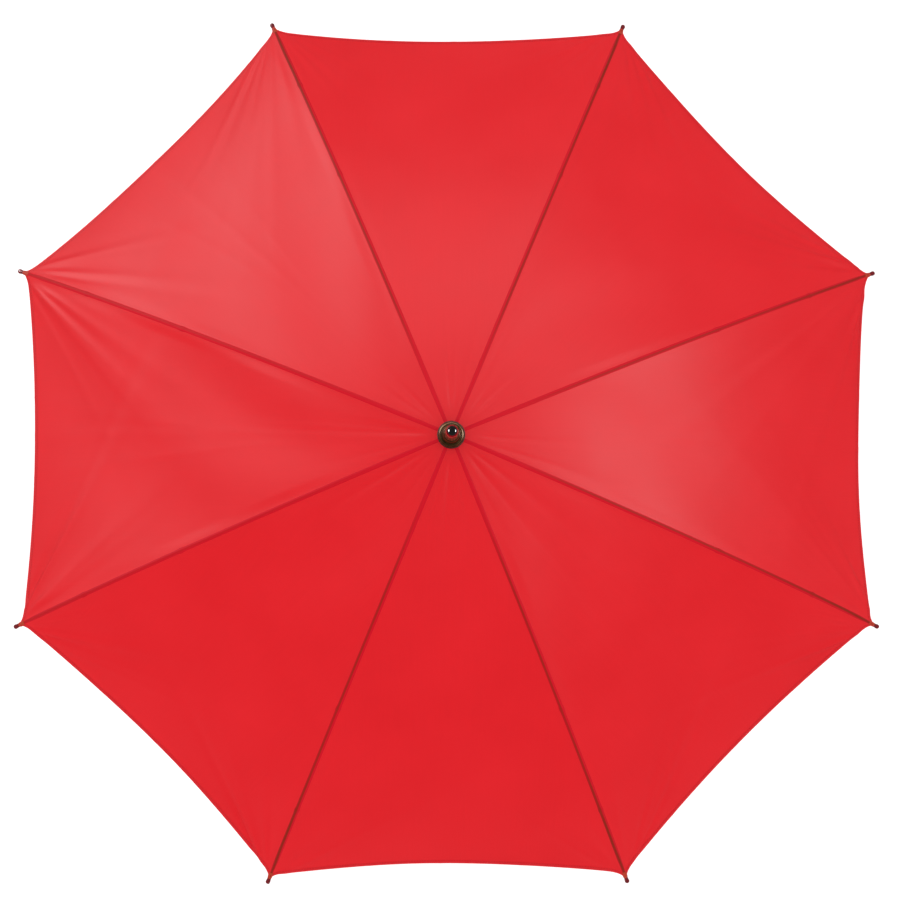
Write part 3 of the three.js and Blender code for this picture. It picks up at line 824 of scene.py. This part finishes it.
def make_ties(number):
    """Loops of thread that hold the seam to the rib."""
    points, faces = [], []
    thread = 0.24
    loop = np.array(rounded([(-1.95, -1.9), (1.95, -1.9), (2.3, 2.35), (-2.3, 2.35)], 0.9, True, 5))
    count = len(loop)
    ahead = np.roll(loop, -1, 0) - np.roll(loop, 1, 0)
    normal = np.stack((ahead[:, 1], -ahead[:, 0]), -1)
    normal /= np.linalg.norm(normal, axis=1, keepdims=True)
    for at in TIES:
        for turn in range(3):
            rings = []
            for k in range(count):
                ring = []
                for a in np.arange(8) * math.pi / 4:
                    side, up = loop[k] + normal[k] * thread * math.cos(a)
                    skew = 0.5 * math.sin(2 * math.pi * k / count)
                    ring.append(rib_point(at + (turn - 1) * 0.52 + skew + thread * math.sin(a), up, side))
                rings.append(np.array(ring).reshape(-1, 3))
            p, f = loft(rings, True)
            faces += [tuple(n + len(points) for n in face) for face in f]
            points += list(p)
    angle = FIRST_RIB + STEP * (number - 1)
    points = np.array(points)
    uv = points[:, :2]
    obj = add_piece(f"seam_ties_{number}", turned(points, angle), faces, THREAD, 60, uv)
    return settle(outwards(obj), f"rib_{number}", "canopy")


# ---------------------------------------------------------------- ribs
def make_rib(number):
    """The channel of a rib with its flattened end and eye."""
    w, t = RIB_H / 2, RIB_WALL
    channel = [(-w, -w), (t - w, -w), (t - w, w - t), (w - t, w - t), (w - t, -w), (w, -w), (w, w), (-w, w)]
    section = np.array(rounded(channel, 0.4, True, 3))
    s = np.linspace(RIB_START, RIB_END, 96)
    points, faces = loft(along_rib(section, s))
    eye = []
    turn = np.linspace(math.asin(0.75), 2 * math.pi - math.asin(0.7), 28)
    outline = [(1.8 * math.cos(a), 1.8 * math.sin(a)) for a in turn]
    outline += [(RIB_START + 6, -1.3), (RIB_START + 6, 1.35)]
    hole = [(0.9 * math.cos(a), 0.9 * math.sin(a)) for a in np.linspace(0, 2 * math.pi, 29)[:-1]]
    hole = hole[3:] + hole[:3]
    inner = hole + [hole[-1], hole[0]]
    for side, ring in ((-0.6, outline), (0.6, outline), (0.6, inner), (-0.6, inner)):
        for along, up in ring:
            eye.append(rib_point(along, up, side).reshape(3))
    count = len(outline)
    first = len(points)
    eye_faces = grid_faces(4, count, True, True, first)
    points = np.concatenate((points, np.array(eye)))
    faces += [tuple(f) for f in eye_faces]
    angle = FIRST_RIB + STEP * (number - 1)
    obj = add_piece(f"rib_channel_{number}", turned(points, angle), faces, ENAMEL, 40)
    return settle(outwards(obj), f"rib_{number}", "black_steel", f"rib_{number}")


TIP = [[0, 0], [2, 0], [2.1, 5.5], [2.3, 9], [2.6, 10.6], [2.45, 12.3], [1.5, 13.3], [0, 13.4]]


def make_tip(number):
    """The moulded cap on the end of a rib."""
    line = rounded(TIP, 0.7, False, 5)
    around = np.arange(40) * math.pi / 20
    rings = []
    for r, along in line:
        r = max(r, 1e-3)
        rings.append(rib_point(RIB_END + 0.3 + along, r * np.sin(around), r * np.cos(around)))
    points, faces = loft(rings)
    angle = FIRST_RIB + STEP * (number - 1)
    obj = add_piece(f"tip_cap_{number}", turned(points, angle), faces, CAP_RED, 40)
    return settle(outwards(obj), f"rib_{number}", "rib_tip", f"rib_tip_{number}")


# ---------------------------------------------------------------- handle, shaft and crown
def make_handle():
    around = np.arange(56) * 2 * math.pi / 56
    cos, sin = np.cos(around), np.sin(around)

    def level(z, r):
        return np.stack((r * cos, r * sin, np.full(56, z)), 1), z

    rings = [level(HANDLE_TOP - SOCKET_DEPTH, BORE_R), level(HANDLE_TOP - 0.3, BORE_R)]
    rings.append(level(HANDLE_TOP, BORE_R + 0.3))
    for a in np.linspace(0, math.pi / 2, 6):
        rings.append(level(HANDLE_TOP - 1.3 * (1 - math.cos(a)), HANDLE_R - 1.3 * (1 - math.sin(a))))
    rings += [level(z, HANDLE_R) for z in np.linspace(HANDLE_TOP - 6, HOOK_Z, 30)[:-1]]
    for turn in np.linspace(0, math.pi, 72):
        inward = np.array((math.cos(turn), 0, math.sin(turn)))
        at = np.array((HOOK_R, 0, HOOK_Z)) - inward * HOOK_R
        round_it = cos[:, None] * inward + sin[:, None] * np.array((0, 1, 0))
        rings.append((at + HANDLE_R * round_it, HOOK_Z - HOOK_R * turn))
    for z, inset in ((8, 0), (HOOK_TAIL - 0.8, 0), (HOOK_TAIL - 0.2, 0.25), (HOOK_TAIL, 0.8)):
        r = HANDLE_R - inset
        ring = np.stack((2 * HOOK_R - r * cos, r * sin, np.full(56, HOOK_Z + z)), 1)
        rings.append((ring, HOOK_Z - HOOK_R * math.pi - z))
    points, faces = loft([r for r, _ in rings])
    grain = [np.stack((HANDLE_R * cos, HANDLE_R * sin, np.full(56, along)), 1) for _, along in rings]
    grain = np.concatenate(grain)
    obj = add_piece("crook", points, faces, WOOD, 40, grain=grain * MM)
    settle(outwards(obj), "frame", "wood", "crook_handle")


def make_shaft():
    profile = [[0, SHAFT_BOTTOM], [SHAFT_R, SHAFT_BOTTOM], [SHAFT_R, SHAFT_TOP], [0, SHAFT_TOP]]
    obj = lathe("shaft_rod", profile, 0, WOOD, fillet=0.5, segments=80)
    gap = CATCH_T / 2 + 0.3
    carve(
        obj,
        ((1, -gap, SLEEVE_LOW - 26), (8, gap, SLEEVE_LOW + 1), 0),
        ((1, -gap, BOTTOM_CATCH_Z - 1), (8, gap, BOTTOM_CATCH_Z + 26), 0),
        ((-1.2, -9, PIN_Z - 1.2), (1.2, 9, PIN_Z + 1.2), 0),
    )
    settle(obj, "frame", "wood", "shaft")


def slots(width, low, high):
    """Boxes that cut a slot for each rib or stretcher in a notch."""
    inner, outer = (9.2, -width / 2, low - 1), (16, width / 2, high + 1)
    return [(inner, outer, FIRST_RIB + STEP * k) for k in range(RIBS)]


COLLAR = [[BORE_R, 0.3], [10, 0.3], [10.4, 1.2], [10.4, 3], [9.7, 4], [9.7, 9.4], [9, 10.6], [BORE_R, 10.6]]
END_CAP = [[0, 0.3], [9, 0.3], [9.3, 1.2], [8.6, 2.7], [6.5, 3.6], [0, 3.6]]
TOP_NOTCH = [
    [BORE_R, -3], [13.4, -3], [14, -2.4], [14, -0.85], [10.65, -0.85],
    [10.65, 0.85], [14, 0.85], [14, 1.4], [13.4, 2], [BORE_R, 2],
]
RUNNER_NOTCH = [
    [BORE_R, -5.7], [12.6, -5.7], [14, -4.6], [14, -0.85], [10.65, -0.85],
    [10.65, 0.85], [14, 0.85], [14, 1.6], [13.4, 2.2], [BORE_R, 2.2],
]
SLEEVE = [[BORE_R, -55], [SLEEVE_R, -55], [SLEEVE_R, -6], [BORE_R, -6]]
ROSETTE = [[BORE_R, 4.1], [14.4, 4.1], [14.4, 4.9], [BORE_R, 4.9]]
CROWN = [
    [BORE_R, 5.2], [13.2, 5.2], [13.5, 5.8], [13.5, 8], [12.8, 9.2], [11.4, 9.8], [10.9, 9.2],
    [10.3, 9.2], [9.9, 10], [9.5, 13.5], [8.9, 17.5], [8.5, 19.3], [BORE_R, 19.3],
]
FERRULE = [[0, 19.7], [7.3, 19.7], [7.5, 21.5], [7.4, 25], [7, 37], [6.6, 48], [6.3, 53.5], [0, 53.5]]
BALL = [
    [0, 53.8], [6, 53.8], [6.3, 55], [6.45, 57.5], [6.1, 60.5], [5.1, 63.2], [3.6, 65.2], [2.6, 66], [0, 66],
]

make_handle()
make_shaft()
settle(lathe("collar", COLLAR, HANDLE_TOP, BRONZE), "frame", "bronze", "handle_collar")
cap = lathe("hook_cap", END_CAP, HOOK_Z + HOOK_TAIL, BRONZE, (2 * HOOK_R, 0), 0.5)
settle(cap, "frame", "bronze", "handle_end_cap")
notch = carve(lathe("rib_notch", TOP_NOTCH, NOTCH_Z, PLASTIC), *slots(TAB_T + 0.6, NOTCH_Z - 3, NOTCH_Z + 2))
settle(notch, "frame", "black_plastic", "top_notch")
notch = lathe("runner_crown", RUNNER_NOTCH, RUNNER_Z, PLASTIC)
carve(notch, *slots(STRETCHER_W + 0.6, RUNNER_Z - 5.7, RUNNER_Z + 2.2))
settle(notch, "runner", "black_plastic", "runner_notch")
sleeve = lathe("runner_tube", SLEEVE, RUNNER_Z, PLASTIC, fillet=0.4)
carve(sleeve, ((5, -1.7, RUNNER_Z - 52), (12, 1.7, RUNNER_Z - 8), 0))
settle(sleeve, "runner", "black_plastic", "runner_sleeve")
settle(lathe("rosette", ROSETTE, NOTCH_Z, WASHER), "frame", "washer", "rosette_washer")
settle(lathe("crown", CROWN, NOTCH_Z, BRONZE, fillet=0.5), "frame", "bronze", "crown_cap")
settle(lathe("ferrule_spike", FERRULE, NOTCH_Z, FERRULE_WOOD, fillet=0.8), "frame", "wood", "ferrule")
ball = settle(lathe("ferrule_ball", BALL, NOTCH_Z, GLOSS, fillet=1.6), "frame", "gloss_black", "ferrule_tip")
for light in (left_softbox, right_softbox):
    light_only(light, [ball])
for light in (key_light, low_light, top_light, fill_light):
    light_only(light, [ball], False)

for number in range(1, RIBS + 1):
    make_rib(number)
    make_tip(number)
    make_tip_wrap(number)
    make_ties(number)

gores = {number: Gore(number) for number in range(1, RIBS + 1)}
for number, gore in gores.items():
    make_seam(number, gores[(number - 2) % RIBS + 1], gore)
for number, gore in gores.items():
    cloth, area = make_gore(gore)
    hem = make_hem(gore)

# CAD nodes that are shown as they are, with their finishes
for node in ("notch_wire", "runner_wire", "runner_stop_pin", "top_catch", "bottom_catch"):
    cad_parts[node].data.materials.clear()
    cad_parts[node].data.materials.append(STEEL)
for number in range(1, RIBS + 1):
    for node in (f"rib_joint_{number}", f"stretcher_{number}"):
        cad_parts[node].data.materials.clear()
        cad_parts[node].data.materials.append(ENAMEL)

floor_z = float(cad_box[0][2]) / MM - 1.5
turn = np.arange(64) * math.pi / 32
rim = np.stack((40000 * np.cos(turn), 40000 * np.sin(turn), np.full(64, floor_z)), 1)
floor = add_piece("floor", rim, [tuple(range(64))], floor_paint.material, None)
floor.visible_glossy = False
